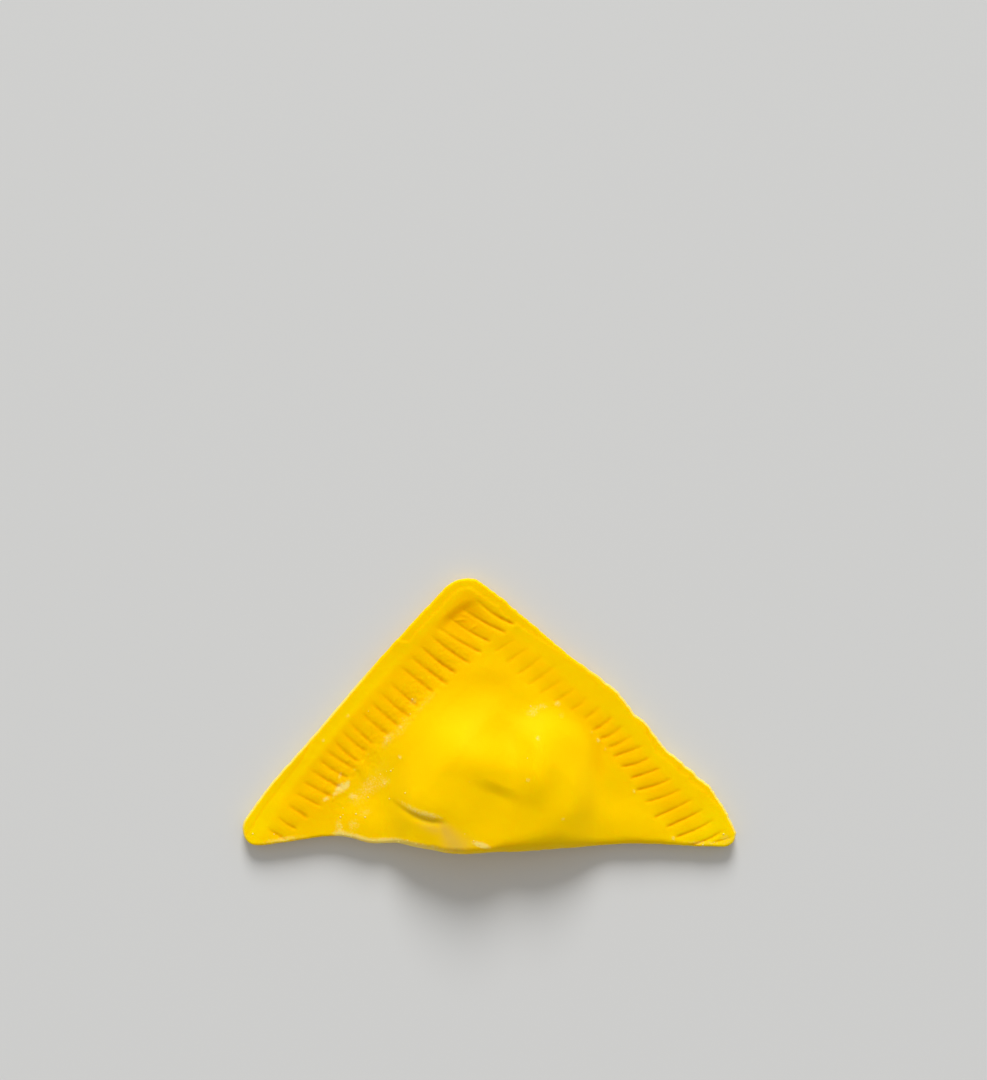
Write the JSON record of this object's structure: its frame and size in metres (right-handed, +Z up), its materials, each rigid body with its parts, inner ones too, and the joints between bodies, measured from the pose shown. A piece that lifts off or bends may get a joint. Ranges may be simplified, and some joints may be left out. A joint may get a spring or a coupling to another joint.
{
  "type": "samosa",
  "caption": "Uncooked folded triangular pastry, stuffed and closed by fork crimps along its two open edges, lying flat on its folded sheet.",
  "frame": {"origin": "middle of the footprint's bounding box, on the surface that the samosa lies on", "axes": "+X along the fold, +Y from the fold towards the apex where the two crimped edges meet, +Z up"},
  "size_m": [0.1406, 0.0786, 0.0145],
  "materials": {
    "dough": "satin, slightly translucent yellow raw dough with traces of flour"
  },
  "bodies": {
    "root": {"samosa": "dough"}
  },
  "joints": []
}
